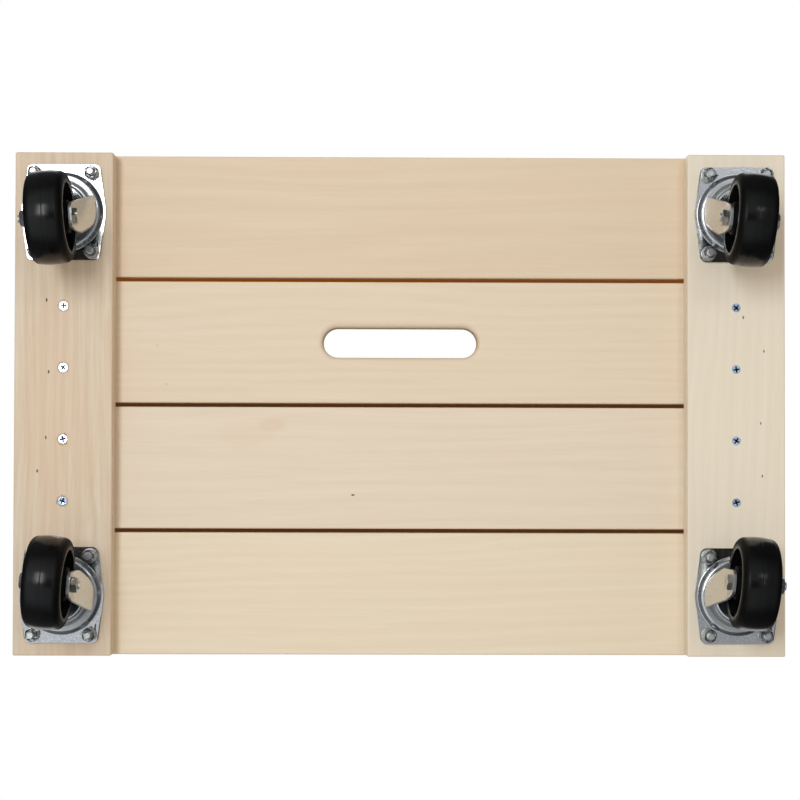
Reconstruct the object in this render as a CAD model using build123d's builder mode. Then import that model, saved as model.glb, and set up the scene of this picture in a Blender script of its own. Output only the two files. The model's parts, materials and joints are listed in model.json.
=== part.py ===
from build123d import *
from math import radians, tan
from typing import NamedTuple
import os

# Wooden platform dolly on four swivel casters, standing on its wheels.
# Millimetres, +Z up. The origin lies on the floor under the middle of the deck, +X runs along the
# deck boards, and the hand-hold slot is on the -Y side, which is called the front.

# Deck boards
board_count = 4
board_length = 630.0
board_width = 100.6
board_thickness = 20.0
board_gap = 3.3
board_edge_radius = 1.5
board_end_chamfer = 0.8

# Hand-hold slot, through the second board from the front
slot_board = 1
slot_length = 127.5
slot_height = 24.6
slot_rim_radius = 5.0

# Cross battens under the board ends, a little short of the deck's edges
batten_width = 80.0
batten_thickness = 20.0
batten_inset = 0.75
batten_edge_radius = 1.5
batten_end_chamfer = 0.8

# Wood screws from the battens into the middle boards
screw_head_diameter = 7.4
screw_head_angle = 90.0
screw_shank_diameter = 3.8
screw_length = 34.0
screw_tip_length = 4.0
screw_pitch = 50.5
screw_pair_shift = 2.5
screw_clearance = 0.05

# Carriage bolts, lock washers and nuts that hold the caster plates
bolt_diameter = 6.0
bolt_length = 50.0
bolt_hole_clearance = 0.3
bolt_head_diameter = 16.5
bolt_head_height = 3.4
bolt_head_sink = 0.6
bolt_head_clearance = 0.75
bolt_neck_length = 4.0
bolt_pitch_x = 46.0
bolt_pitch_y = 64.0
washer_diameter = 12.0
washer_thickness = 1.6
washer_split = 1.2
nut_width = 10.0
nut_height = 5.0
thread_clearance = 0.05

# Caster plate, pressed from sheet
plate_width = 60.0
plate_length = 78.0
plate_thickness = 2.5
plate_corner_radius = 5.0
plate_rim = 2.0
shoulder_radius = 32.25
shoulder_depth = 3.5
shoulder_slope = 3.0
press_radius = 0.6

# Swivel head: two rings of balls, the cup under the lower ring, the kingpin and its spacer
ball_diameter = 4.0
ball_count = 6
ball_groove_depth = 0.4
ball_groove_ease = 0.15
race_clearance = 0.3
lower_ball_ring_radius = 17.0
cup_thickness = 2.0
cup_lip_height = 3.0
cup_ball_clearance = 0.5
kingpin_diameter = 10.0
kingpin_head_diameter = 16.0
kingpin_head_height = 2.2
rivet_clearance = 0.05
spacer_diameter = 16.0
spacer_clearance = 0.5

# Fork, pressed from sheet
fork_thickness = 2.5
crown_radius = 28.5
crown_rim_width = 4.0
crown_step = 1.2
crown_step_run = 2.0
leg_bend_radius = 2.0
leg_bend_ease = 1.6
leg_base_width = 34.0
leg_end_width = 18.3
leg_end_drop = 11.2
leg_corner_radius = 5.5
leg_lead = 9.7
leg_knee_rise = 9.75
leg_flare = 4.0
caster_trail = 13.5

# Wheel and its axle
wheel_diameter = 73.5
wheel_width = 30.0
wheel_head_clearance = 7.2
wheel_leg_clearance = 1.0
tread_crown = 0.7
tread_edge_radius = 6.0
rim_width = 4.25
recess_depth = 10.0
recess_draft = 1.0
hub_diameter = 26.0
sleeve_diameter = 11.0
sleeve_running_clearance = 0.06
axle_diameter = 8.0
axle_clearance = 0.05
axle_head_width = 12.0
axle_head_turn = 30.0
axle_head_height = 3.6
axle_nut_height = 4.8
axle_end_length = 1.6


class Caster(NamedTuple):
    """Where a caster is bolted on and how it stands at rest."""

    side_x: int
    side_y: int
    heading: float


# The heading is the way the wheel trails, in degrees from +X
casters = {
    "front_left": Caster(-1, -1, 86.7),
    "front_right": Caster(1, -1, 94.6),
    "rear_left": Caster(-1, 1, -85.7),
    "rear_right": Caster(1, 1, -85.7),
}

# Levels above the floor, from the wheel up through the swivel head to the deck
ball_radius = ball_diameter / 2
axle_level = wheel_diameter / 2
kingpin_bottom = wheel_diameter + wheel_head_clearance
cup_bottom = kingpin_bottom + kingpin_head_height
cup_floor = cup_bottom + cup_thickness
lower_ball_level = cup_floor - ball_groove_depth + ball_radius
crown_bottom = lower_ball_level + ball_radius + race_clearance
crown_top = crown_bottom + fork_thickness
crown_rim_bottom = crown_bottom - crown_step
upper_ball_level = crown_top - crown_step + race_clearance + ball_radius
plate_floor = upper_ball_level + ball_radius - ball_groove_depth
kingpin_top = plate_floor + plate_thickness + kingpin_head_height
plate_bottom = plate_floor + shoulder_depth
batten_bottom = plate_bottom + plate_thickness
deck_bottom = batten_bottom + batten_thickness
deck_top = deck_bottom + board_thickness
bolt_seat = deck_top - bolt_head_sink - bolt_head_height

# Places on the deck
board_step = board_width + board_gap
deck_width = board_count * board_step - board_gap
batten_length = deck_width - 2 * batten_inset
board_rows = [(i - (board_count - 1) / 2) * board_step for i in range(board_count)]
caster_x = (board_length - batten_width) / 2
caster_y = board_rows[-1]
batten_rows = {"batten_left": -caster_x, "batten_right": caster_x}

# Radii about the fasteners, the swivel axis and the axle
bolt_radius = bolt_diameter / 2
bolt_hole_radius = bolt_radius + bolt_hole_clearance
bolt_sink_radius = bolt_head_diameter / 2 + bolt_head_clearance
screw_head_depth = (screw_head_diameter - screw_shank_diameter) / 2 / tan(radians(screw_head_angle / 2))
ball_groove_radius = ball_radius + ball_groove_ease
kingpin_radius = kingpin_diameter / 2
kingpin_hole_radius = kingpin_radius + rivet_clearance
spacer_radius = spacer_diameter / 2
cup_radius = lower_ball_ring_radius + ball_radius + cup_ball_clearance + cup_thickness
crown_rim_inner = crown_radius - crown_rim_width
upper_ball_ring_radius = crown_radius - crown_rim_width / 2
leg_top = crown_radius - fork_thickness
leg_bend_reach = leg_bend_ease * leg_bend_radius
wheel_radius = wheel_diameter / 2
wheel_half = wheel_width / 2
recess_radius = wheel_radius - tread_edge_radius - rim_width
axle_radius = axle_diameter / 2
leg_inner = wheel_half + wheel_leg_clearance
leg_outer = leg_inner + fork_thickness
leg_end = axle_level - leg_end_drop
leg_front = caster_trail + leg_lead
leg_back = leg_front - leg_base_width
axle_line = Axis((0, 0, axle_level), (0, 1, 0))

os.makedirs("parts", exist_ok=True)


def save(piece: Part, name: str) -> None:
    """Label a finished piece and write it under its own name."""
    piece.label = name
    export_step(piece, f"parts/{name}.step")


def screw_row(row: float) -> list[float]:
    """Y of the two screws in a middle board, a little outside the board's own middle."""
    middle = row + (screw_pair_shift if row > 0 else -screw_pair_shift)
    return [middle - screw_pitch / 2, middle + screw_pitch / 2]


def caster_place(caster: Caster) -> Location:
    """Foot of a caster's swivel axis on the floor."""
    return Location((caster.side_x * caster_x, caster.side_y * caster_y, 0))


def bent_sheet(points: list[tuple[float, float]], radii: list[float], thickness: float) -> None:
    """Draw the section of a bent sheet, on the left of the line through the points."""
    with BuildLine() as section:
        FilletPolyline(*points, radius=radii)
        offset(amount=thickness, side=Side.LEFT)
    make_face(section.edges())


screw_ys = [y for row in board_rows[1:-1] for y in screw_row(row)]


# Deck boards: the outer two are bored for the caster bolts, the rest drilled for the screws
for index, row in enumerate(board_rows):
    with BuildPart() as board:
        with BuildSketch(Plane.XY.offset(deck_bottom)):
            with Locations((0, row)):
                Rectangle(board_length, board_width)
        extrude(amount=board_thickness)
        fillet(board.edges().filter_by(Axis.X), board_edge_radius)
        chamfer(board.faces().filter_by(Axis.X).edges(), board_end_chamfer)
        if index == slot_board:
            with BuildSketch(Plane.XY.offset(deck_bottom)):
                with Locations((0, row)):
                    SlotOverall(slot_length, slot_height)
            extrude(amount=board_thickness, mode=Mode.SUBTRACT)
            flats = board.faces().filter_by(Axis.Z)
            fillet([edge for flat in flats for edge in flat.inner_wires()[0].edges()], slot_rim_radius)
        if index in (0, board_count - 1):
            with Locations((-caster_x, row, deck_top), (caster_x, row, deck_top)):
                with GridLocations(bolt_pitch_x, bolt_pitch_y, 2, 2):
                    CounterBoreHole(bolt_hole_radius, bolt_sink_radius, deck_top - bolt_seat)
            with BuildSketch(Plane.XY.offset(bolt_seat)):
                with Locations((-caster_x, row), (caster_x, row)):
                    with GridLocations(bolt_pitch_x, bolt_pitch_y, 2, 2):
                        Rectangle(2 * bolt_hole_radius, 2 * bolt_hole_radius)
            extrude(amount=-bolt_neck_length - bolt_hole_clearance, mode=Mode.SUBTRACT)
        else:
            with BuildSketch(Plane.XY.offset(deck_bottom)):
                with Locations(*[(x, y) for x in batten_rows.values() for y in screw_row(row)]):
                    Circle(screw_shank_diameter / 2 + screw_clearance)
            extrude(amount=screw_length - batten_thickness + screw_clearance, mode=Mode.SUBTRACT)
    save(board.part, f"deck_board_{index + 1}")

# Battens, countersunk from below for the screws and drilled through for the caster bolts
for name, batten_row in batten_rows.items():
    with BuildPart() as batten:
        with BuildSketch(Plane.XY.offset(batten_bottom)):
            with Locations((batten_row, 0)):
                Rectangle(batten_width, batten_length)
        extrude(amount=batten_thickness)
        fillet(batten.edges().filter_by(Axis.Y), batten_edge_radius)
        chamfer(batten.faces().filter_by(Axis.Y).edges(), batten_end_chamfer)
        with Locations(*[Plane((batten_row, y, batten_bottom), z_dir=(0, 0, -1)) for y in screw_ys]):
            CounterSinkHole(
                screw_shank_diameter / 2 + screw_clearance,
                screw_head_diameter / 2 + screw_clearance,
                counter_sink_angle=screw_head_angle,
            )
        with Locations((batten_row, -caster_y, deck_bottom), (batten_row, caster_y, deck_bottom)):
            with GridLocations(bolt_pitch_x, bolt_pitch_y, 2, 2):
                Hole(bolt_hole_radius)
    save(batten.part, name)

# Countersunk wood screws, heads flush with the underside of the battens
with BuildPart() as screw:
    with BuildSketch(Plane.XZ):
        with BuildLine():
            Polyline(
                (0, batten_bottom),
                (screw_head_diameter / 2, batten_bottom),
                (screw_shank_diameter / 2, batten_bottom + screw_head_depth),
                (screw_shank_diameter / 2, batten_bottom + screw_length - screw_tip_length),
                (0, batten_bottom + screw_length),
                close=True,
            )
        make_face()
    revolve(axis=Axis.Z)
with BuildPart() as batten_screws:
    with Locations(*[(x, y) for x in batten_rows.values() for y in screw_ys]):
        add(screw.part)
save(batten_screws.part, "batten_screws")

# Carriage bolts: a low dome over a square neck and a round shank
with BuildPart() as bolt:
    with BuildSketch(Plane.XZ):
        with BuildLine():
            TangentArc(
                (0, bolt_seat + bolt_head_height), (bolt_head_diameter / 2, bolt_seat), tangent=(1, 0)
            )
            Polyline(
                (bolt_head_diameter / 2, bolt_seat),
                (bolt_radius, bolt_seat),
                (bolt_radius, bolt_seat - bolt_length),
                (0, bolt_seat - bolt_length),
                (0, bolt_seat + bolt_head_height),
            )
        make_face()
    revolve(axis=Axis.Z)
    with BuildSketch(Plane.XY.offset(bolt_seat)):
        Rectangle(bolt_diameter, bolt_diameter)
    extrude(amount=-bolt_neck_length)

# Split lock washer under the caster plate
with BuildPart() as washer:
    with BuildSketch(Plane.XY.offset(plate_bottom)):
        Circle(washer_diameter / 2)
        Circle(bolt_hole_radius, mode=Mode.SUBTRACT)
        with Locations((washer_diameter / 2, 0)):
            Rectangle(washer_diameter, washer_split, mode=Mode.SUBTRACT)
    extrude(amount=-washer_thickness)

with BuildPart() as nut:
    with BuildSketch(Plane.XY.offset(plate_bottom - washer_thickness)):
        RegularPolygon(nut_width / 2, 6, major_radius=False)
        Circle(bolt_radius + thread_clearance, mode=Mode.SUBTRACT)
    extrude(amount=-nut_height)

for name, fastener in (("bolts", bolt), ("lock_washers", washer), ("nuts", nut)):
    with BuildPart() as fasteners:
        with Locations(*[caster_place(caster) for caster in casters.values()]):
            with GridLocations(bolt_pitch_x, bolt_pitch_y, 2, 2):
                add(fastener.part)
    save(fasteners.part, f"caster_{name}")

# Caster plate: a flat flange that bulges round the swivel head, pressed down to a floor in the middle
with BuildPart() as plate:
    with BuildSketch(Plane.XY.offset(plate_bottom)):
        RectangleRounded(plate_width, plate_length, plate_corner_radius)
        Circle(shoulder_radius + plate_rim)
        make_hull()
        Circle(shoulder_radius + plate_rim / 2, mode=Mode.SUBTRACT)
        with GridLocations(bolt_pitch_x, bolt_pitch_y, 2, 2):
            Circle(bolt_hole_radius, mode=Mode.SUBTRACT)
    extrude(amount=plate_thickness)
    with BuildSketch(Plane.XZ):
        bent_sheet(
            [
                (kingpin_hole_radius, plate_floor),
                (shoulder_radius - shoulder_slope, plate_floor),
                (shoulder_radius, plate_bottom),
                (shoulder_radius + plate_rim / 2, plate_bottom),
            ],
            [press_radius + plate_thickness, press_radius],
            plate_thickness,
        )
    revolve(axis=Axis.Z)
    with BuildSketch(Plane.XZ):
        with Locations((upper_ball_ring_radius, upper_ball_level - ball_groove_ease)):
            Circle(ball_groove_radius)
    revolve(axis=Axis.Z, mode=Mode.SUBTRACT)

# Cup that carries the lower ring of balls, with a turned-up lip
with BuildPart() as cup:
    with BuildSketch(Plane.XZ):
        bent_sheet(
            [
                (kingpin_hole_radius, cup_bottom),
                (cup_radius, cup_bottom),
                (cup_radius, cup_floor + cup_lip_height),
            ],
            [press_radius + cup_thickness],
            cup_thickness,
        )
    revolve(axis=Axis.Z)
    with BuildSketch(Plane.XZ):
        with Locations((lower_ball_ring_radius, lower_ball_level + ball_groove_ease)):
            Circle(ball_groove_radius)
    revolve(axis=Axis.Z, mode=Mode.SUBTRACT)

# Rings of balls above and below the fork's crown
with BuildPart() as upper_balls:
    with Locations((0, 0, upper_ball_level)):
        with PolarLocations(upper_ball_ring_radius, ball_count):
            Sphere(ball_radius)
with BuildPart() as lower_balls:
    with Locations((0, 0, lower_ball_level)):
        with PolarLocations(lower_ball_ring_radius, ball_count):
            Sphere(ball_radius)

# Kingpin riveted over the plate's floor and under the cup
with BuildPart() as kingpin:
    with BuildSketch(Plane.XY.offset(kingpin_bottom)):
        Circle(kingpin_radius)
    extrude(amount=kingpin_top - kingpin_bottom)
    with BuildSketch(Plane.XY.offset(kingpin_bottom)):
        Circle(kingpin_head_diameter / 2)
    extrude(amount=kingpin_head_height)
    chamfer(kingpin.edges().group_by(Axis.Z)[0], kingpin_head_height / 2)
    with BuildSketch(Plane.XY.offset(kingpin_top)):
        Circle(kingpin_head_diameter / 2)
    extrude(amount=-kingpin_head_height)

# Spacer that holds the cup clear of the plate's floor
with BuildPart() as spacer:
    with BuildSketch(Plane.XY.offset(cup_floor)):
        Circle(spacer_radius)
        Circle(kingpin_hole_radius, mode=Mode.SUBTRACT)
    extrude(amount=plate_floor - cup_floor)

# Fork: sloping legs that widen backwards to a round crown with a stepped rim
with BuildPart() as fork:
    with BuildSketch(Plane.YZ):
        bent_sheet(
            [
                (leg_top - leg_bend_reach, crown_rim_bottom),
                (leg_top, crown_rim_bottom),
                (leg_inner, axle_level + leg_knee_rise),
                (leg_inner, leg_end),
            ],
            [leg_bend_radius, leg_bend_radius + fork_thickness],
            fork_thickness,
        )
    extrude(amount=leg_base_width, both=True)
    with BuildSketch(Plane.XZ) as leg_outline:
        with BuildLine():
            Polyline(
                (leg_front, crown_top),
                (leg_back, crown_top),
                (leg_back, crown_rim_bottom),
                (leg_front - leg_end_width, leg_end),
                (leg_front, leg_end),
                close=True,
            )
        make_face()
        fillet(leg_outline.vertices().group_by(Axis.Y)[0], leg_corner_radius)
    extrude(amount=crown_radius, both=True, mode=Mode.INTERSECT)
    mirror(about=Plane.XZ)
    with BuildSketch(Plane.XZ):
        bent_sheet(
            [
                (spacer_radius + spacer_clearance, crown_bottom),
                (crown_rim_inner - crown_step_run, crown_bottom),
                (crown_rim_inner, crown_rim_bottom),
                (crown_radius, crown_rim_bottom),
            ],
            [press_radius, press_radius + fork_thickness],
            fork_thickness,
        )
    revolve(axis=Axis.Z)
    with BuildSketch(Plane.XZ):
        with BuildLine():
            Polyline(
                (0, 0),
                (crown_radius + leg_flare, 0),
                (crown_radius + leg_flare, axle_level),
                (crown_radius, crown_rim_bottom),
                (crown_radius, crown_top),
                (0, crown_top),
                close=True,
            )
        make_face()
    revolve(axis=Axis.Z, mode=Mode.INTERSECT)
    with BuildSketch(Plane.XZ):
        with Locations((caster_trail, axle_level)):
            Circle(axle_radius + axle_clearance)
    extrude(amount=crown_radius, both=True, mode=Mode.SUBTRACT)

# Wheel, axle sleeve, axle bolt and nut, drawn about the swivel axis and set back by the trail
axle_plane = Plane((0, 0, axle_level), x_dir=(0, 1, 0), z_dir=(1, 0, 0))
across_axle = Plane((0, 0, axle_level), x_dir=(1, 0, 0), z_dir=(0, 1, 0))

with BuildPart() as wheel:
    with BuildSketch(axle_plane):
        with BuildLine():
            crown_arc = TangentArc(
                (0, wheel_radius),
                (wheel_half - tread_edge_radius, wheel_radius - tread_crown),
                tangent=(1, 0),
            )
            edge_arc = TangentArc(
                crown_arc @ 1, (wheel_half, recess_radius + rim_width), tangent=crown_arc % 1
            )
            Polyline(
                edge_arc @ 1,
                (wheel_half, recess_radius),
                (wheel_half - recess_depth, recess_radius - recess_draft),
                (wheel_half - recess_depth, hub_diameter / 2 + recess_draft),
                (wheel_half, hub_diameter / 2),
                (wheel_half, sleeve_diameter / 2 + sleeve_running_clearance),
                (0, sleeve_diameter / 2 + sleeve_running_clearance),
                crown_arc @ 0,
            )
        make_face()
        mirror(about=Plane.YZ)
    revolve(axis=axle_line)

with BuildPart() as sleeve:
    with BuildSketch(across_axle):
        Circle(sleeve_diameter / 2)
        Circle(axle_radius + axle_clearance, mode=Mode.SUBTRACT)
    extrude(amount=leg_inner, both=True)

with BuildPart() as axle_bolt:
    with BuildSketch(across_axle.offset(-leg_outer)):
        Circle(axle_radius)
    extrude(amount=2 * leg_outer + axle_nut_height + axle_end_length)
    with BuildSketch(across_axle.offset(-leg_outer)):
        RegularPolygon(axle_head_width / 2, 6, major_radius=False, rotation=axle_head_turn)
    extrude(amount=-axle_head_height)

with BuildPart() as axle_nut:
    with BuildSketch(across_axle.offset(leg_outer)):
        RegularPolygon(axle_head_width / 2, 6, major_radius=False, rotation=axle_head_turn)
        Circle(axle_radius + axle_clearance, mode=Mode.SUBTRACT)
    extrude(amount=axle_nut_height)

# One of each caster piece at every corner: fixed ones square to the deck, the rest turned to trail
fixed_pieces = {
    "plate": plate,
    "upper_balls": upper_balls,
    "lower_balls": lower_balls,
    "race_cup": cup,
    "kingpin": kingpin,
    "spacer": spacer,
}
axle_pieces = {"wheel": wheel, "axle_sleeve": sleeve, "axle_bolt": axle_bolt, "axle_nut": axle_nut}
for name, caster in casters.items():
    place = caster_place(caster)
    heading = place * Rotation(0, 0, caster.heading)
    axle_place = heading * Pos(caster_trail, 0, 0)
    for piece_name, piece in fixed_pieces.items():
        save(place * piece.part, f"{name}_{piece_name}")
    save(heading * fork.part, f"{name}_fork")
    for piece_name, piece in axle_pieces.items():
        save(axle_place * piece.part, f"{name}_{piece_name}")
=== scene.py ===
"""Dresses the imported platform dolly: planed boards, zinc-plated swivel casters, moulded wheels, studio."""

import json
import logging
from collections.abc import Callable
from dataclasses import dataclass
from enum import Enum
from functools import partial
from math import atan2, cos, pi, radians, sin, sqrt, tan
from typing import ClassVar

import bmesh
import bpy
from bpy.types import Material, NodeSocket, NodeTree, Object
from mathutils import Matrix, Vector


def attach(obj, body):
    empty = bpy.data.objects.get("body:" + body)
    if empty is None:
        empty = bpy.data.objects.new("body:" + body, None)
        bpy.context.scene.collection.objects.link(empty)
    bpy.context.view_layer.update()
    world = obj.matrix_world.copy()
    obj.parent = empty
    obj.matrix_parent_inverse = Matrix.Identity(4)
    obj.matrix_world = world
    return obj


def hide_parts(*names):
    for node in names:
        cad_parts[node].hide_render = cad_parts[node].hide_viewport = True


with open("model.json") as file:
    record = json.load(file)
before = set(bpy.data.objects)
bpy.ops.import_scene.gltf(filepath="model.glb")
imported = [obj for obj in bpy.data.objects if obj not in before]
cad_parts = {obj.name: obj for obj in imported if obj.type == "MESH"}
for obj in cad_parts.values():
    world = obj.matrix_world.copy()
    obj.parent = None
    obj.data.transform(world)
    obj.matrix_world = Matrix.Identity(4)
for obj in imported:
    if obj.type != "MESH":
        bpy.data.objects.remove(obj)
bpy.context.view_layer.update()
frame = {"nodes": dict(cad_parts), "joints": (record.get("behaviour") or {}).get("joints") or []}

# Pieces are modelled in millimetres and brought to metres when they are placed
MM = 0.001
TO_METRES = Matrix.Scale(MM, 4)
TOUCH = 1e-4
ROUND_STEPS = 5
TURN_STEPS = 96
# Below this radius a turned tool or disc needs fewer steps
SMALL_RADIUS = 10.0
# Signs of X and Y at the four corners of the deck, or of a plate
CORNERS = [(x, y) for x in (-1, 1) for y in (-1, 1)]

log = logging.getLogger("dolly")

Pair = tuple[float, float]
Point = tuple[float, float, float]
# Radius and height of each corner, and how far from it its rounding starts, if it has one
Profile = list[tuple[float, ...]]
# Place of each corner and how far from it its rounding starts
Corners = list[tuple[Point, float]]
NodeAdder = Callable[..., NodeSocket | None]


def linear(colour: str) -> tuple[float, float, float, float]:
    """Turn an sRGB hex colour into linear light, with an alpha of 1."""
    shades = [int(colour[i : i + 2], 16) / 255 for i in (0, 2, 4)]
    return (*[s / 12.92 if s <= 0.04045 else ((s + 0.055) / 1.055) ** 2.4 for s in shades], 1.0)


def per_metre(size_mm: float) -> float:
    """Scale of a pattern whose features are this large."""
    return 1 / (size_mm * MM)


def add_node(
    tree: NodeTree, kind: str, inputs: dict | None = None, out: int | str = 0, **settings
) -> NodeSocket | None:
    """Add a node with its settings, values and links.

    Args:
        tree: Node tree that gets the node.
        kind: Blender's name for the node type, after ShaderNode.
        inputs: Value or output socket for each input, by name or number.
        out: Output that is wanted, by name or number.
        **settings: Properties of the node itself.

    Returns:
        The wanted output, or nothing for a node that has none.
    """
    node = tree.nodes.new("ShaderNode" + kind)
    for key, value in settings.items():
        setattr(node, key, value)
    for key, value in (inputs or {}).items():
        if isinstance(value, NodeSocket):
            tree.links.new(value, node.inputs[key])
        else:
            node.inputs[key].default_value = value
    return node.outputs[out] if len(node.outputs) else None


def at(x: float, y: float, z: float) -> Matrix:
    """Place of a point, with no turn."""
    return Matrix.Translation((x, y, z))


def turned(degrees: float, axis: str = "Z") -> Matrix:
    """Turn about an axis through the origin."""
    return Matrix.Rotation(radians(degrees), 4, axis)


def empty_material(name: str) -> tuple[Material, NodeAdder]:
    """Make a material with no nodes in it.

    Args:
        name: Name of the real material.

    Returns:
        The material, and what adds a node to it.
    """
    material = bpy.data.materials.new(name)
    material.use_nodes = True
    material.node_tree.nodes.clear()
    return material, partial(add_node, material.node_tree)


class Grain(Enum):
    """Way that a board's fibres run, as the turn that lays them along the pattern's X."""

    ALONG_X = 0.0
    ALONG_Y = -90.0

    @property
    def way(self) -> Vector:
        """Unit vector along the fibres."""
        return Vector((1, 0, 0)) if self is Grain.ALONG_X else Vector((0, 1, 0))


@dataclass(frozen=True)
class Fleck:
    """Pin knot or smudge in the wood.

    Attributes:
        place: Its middle, in mm.
        radius: Its radius, in mm.
        depth: How far it covers the wood, from 0 to 1.
        colour: Its colour.
    """

    place: Point
    radius: float
    depth: float = 0.95
    colour: str = "3A2717"


@dataclass(frozen=True)
class PlanedWood:
    """Bare planed softwood: pale, matt, with faint growth rings, streaks along the fibres and pin knots.

    Attributes:
        name: Name of the material.
        grain: Way that the fibres run.
        centre: Middle of the board, in mm.
        pale: Colour of the paler bands.
        blush: Colour of the warmer bands.
        dark: Colour of the late wood and the streaks.
        pith: Place of the tree's heart across the board and through it, in mm from the board's middle.
        slope: Turn of the fibres in the board's face, in degrees.
        ring_mm: Width of a growth ring.
        ring_share: Share of the growth rings in the tone.
        flecks: Pin knots and smudges.
        screw_rows: Distance of the screws from the middle along the fibres, in mm, for torn wood and painted
            shade round them.
    """

    name: str
    grain: Grain
    centre: Point
    pale: str
    blush: str
    dark: str
    pith: Pair
    slope: float = 0.0
    ring_mm: float = 7.0
    ring_share: float = 0.2
    flecks: tuple[Fleck, ...] = ()
    screw_rows: Pair | None = None

    def material(self) -> Material:
        """Build the wood's nodes.

        Returns:
            The material.
        """
        material, node = empty_material(self.name)
        place = node("TexCoord", out="Object")
        centred = node("VectorMath", {0: place, 1: [c * MM for c in self.centre]}, operation="SUBTRACT")
        # Each board comes from another length of timber, so its pattern is shifted along the fibres
        start = (sum(map(ord, self.name)) * 0.37 % 7, -self.pith[0] * MM, -self.pith[1] * MM)
        turn = (0, 0, radians(self.grain.value + self.slope))
        length = node("Mapping", {"Vector": centred, "Rotation": turn, "Location": start})
        sway = self.drawn_noise(node, length, (420, 110, 110), out="Color")
        sway = node("VectorMath", {0: sway, 1: (0.5, 0.5, 0.5)}, operation="SUBTRACT")
        # Growth wanders by about a centimetre and a half over the length of a board
        bent = node("VectorMath", {0: sway, 1: (0, 0.03, 0.03), 2: length}, operation="MULTIPLY_ADD")
        # Growth rings lie one ring's width apart
        rings = node(
            "TexWave",
            {"Vector": bent, "Scale": pi / 10 * per_metre(self.ring_mm), "Distortion": 0.0},
            "Fac",
            wave_type="RINGS",
            rings_direction="X",
            wave_profile="SIN",
        )
        streaks = self.drawn_noise(node, bent, (170, 3.2, 3.2), 3.0)
        # Real fibres are a few hundredths of a millimetre wide, drawn coarser here so that they show
        fibres = self.drawn_noise(node, bent, (30, 0.9, 0.9))
        tone = 0.0
        for pattern, share in ((rings, self.ring_share), (streaks, 0.75), (fibres, 0.45)):
            tone = node("Math", {0: pattern, 1: share, 2: tone}, operation="MULTIPLY_ADD")
        late = node("MapRange", {"Value": tone, "From Min": 0.4, "From Max": 0.8 + self.ring_share})
        bands = self.drawn_noise(node, length, (210, 34, 34))
        warm = node("MapRange", {"Value": bands, "From Min": 0.36, "From Max": 0.64})
        # Sawn ends drink in the light: the open pores there look darker
        normal = node("TexCoord", out="Normal")
        end = node("VectorMath", {0: normal, 1: self.grain.way}, "Value", operation="DOT_PRODUCT")
        end = node("Math", {0: end}, operation="ABSOLUTE")
        pores = node("MapRange", {"Value": end, "From Min": 0.5, "From Max": 0.9, "To Max": 0.45})
        colour = linear(self.pale)
        for share, shade in ((warm, self.blush), (late, self.dark), (pores, "C9A77C")):
            colour = node("Mix", {"Factor": share, 6: colour, 7: linear(shade)}, 2, data_type="RGBA")
        for fleck in self.flecks:
            colour = self.stain(node, place, colour, fleck)
        # Torn wood round the screw heads, with painted shade of the countersink gap
        if self.screw_rows:
            colour = self.torn_wood_and_shade(node, centred, fibres, colour)
        relief = node("Math", {0: streaks, 1: fibres}, operation="ADD")
        bump = node("Bump", {"Strength": 0.2, "Distance": 0.0002, "Height": relief})
        gloss = node("MapRange", {"Value": streaks, "To Min": 0.52, "To Max": 0.66})
        shader = node(
            "BsdfPrincipled",
            {"Base Color": colour, "Roughness": gloss, "Normal": bump, "Specular IOR Level": 0.3},
        )
        node("OutputMaterial", {"Surface": shader})
        return material

    @staticmethod
    def drawn_noise(
        node: NodeAdder, place: NodeSocket, size: Point, detail: float = 2.0, out: str = "Fac"
    ) -> NodeSocket:
        """Make noise with features of this size in mm, where the fibres run along X."""
        drawn = node("VectorMath", {0: place, 1: [*map(per_metre, size)]}, operation="MULTIPLY")
        return node("TexNoise", {"Vector": drawn, "Scale": 1.0, "Detail": detail}, out)

    def stain(self, node: NodeAdder, place: NodeSocket, colour: NodeSocket, fleck: Fleck) -> NodeSocket:
        """Colour the wood round one fleck.

        Args:
            node: Adds a node to the wood.
            place: Object coordinates.
            colour: Colour so far.
            fleck: The knot or smudge.

        Returns:
            Colour with the fleck in it.
        """
        # A fleck is twice as long along the fibres
        squeeze = Vector((1, 1, 1)) - 0.5 * self.grain.way
        away = node("VectorMath", {0: place, 1: [p * MM for p in fleck.place]}, operation="SUBTRACT")
        away = node("VectorMath", {0: away, 1: squeeze}, operation="MULTIPLY")
        away = node("VectorMath", {0: away}, "Value", operation="LENGTH")
        full, end = 0.5 * fleck.radius * MM, 1.3 * fleck.radius * MM
        near = node(
            "MapRange",
            {"Value": away, "From Min": full, "From Max": end, "To Min": fleck.depth, "To Max": 0.0},
            interpolation_type="SMOOTHSTEP",
        )
        return node("Mix", {"Factor": near, 6: colour, 7: linear(fleck.colour)}, 2, data_type="RGBA")

    def torn_wood_and_shade(
        self, node: NodeAdder, centred: NodeSocket, fibres: NodeSocket, colour: NodeSocket
    ) -> NodeSocket:
        """Brown the torn wood round the screw heads; the dark ring next to each head is partly painted shade
        of the gap between head and countersink.

        Args:
            node: Adds a node to the wood.
            centred: Coordinates about the batten's middle.
            fibres: Noise of the fibres, which breaks the ring up.
            colour: Colour so far.

        Returns:
            Colour with the torn wood and the painted shade in it.
        """
        inner, outer = (row * MM for row in self.screw_rows)
        fold = node("SeparateXYZ", {0: centred}, "Y")
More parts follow.
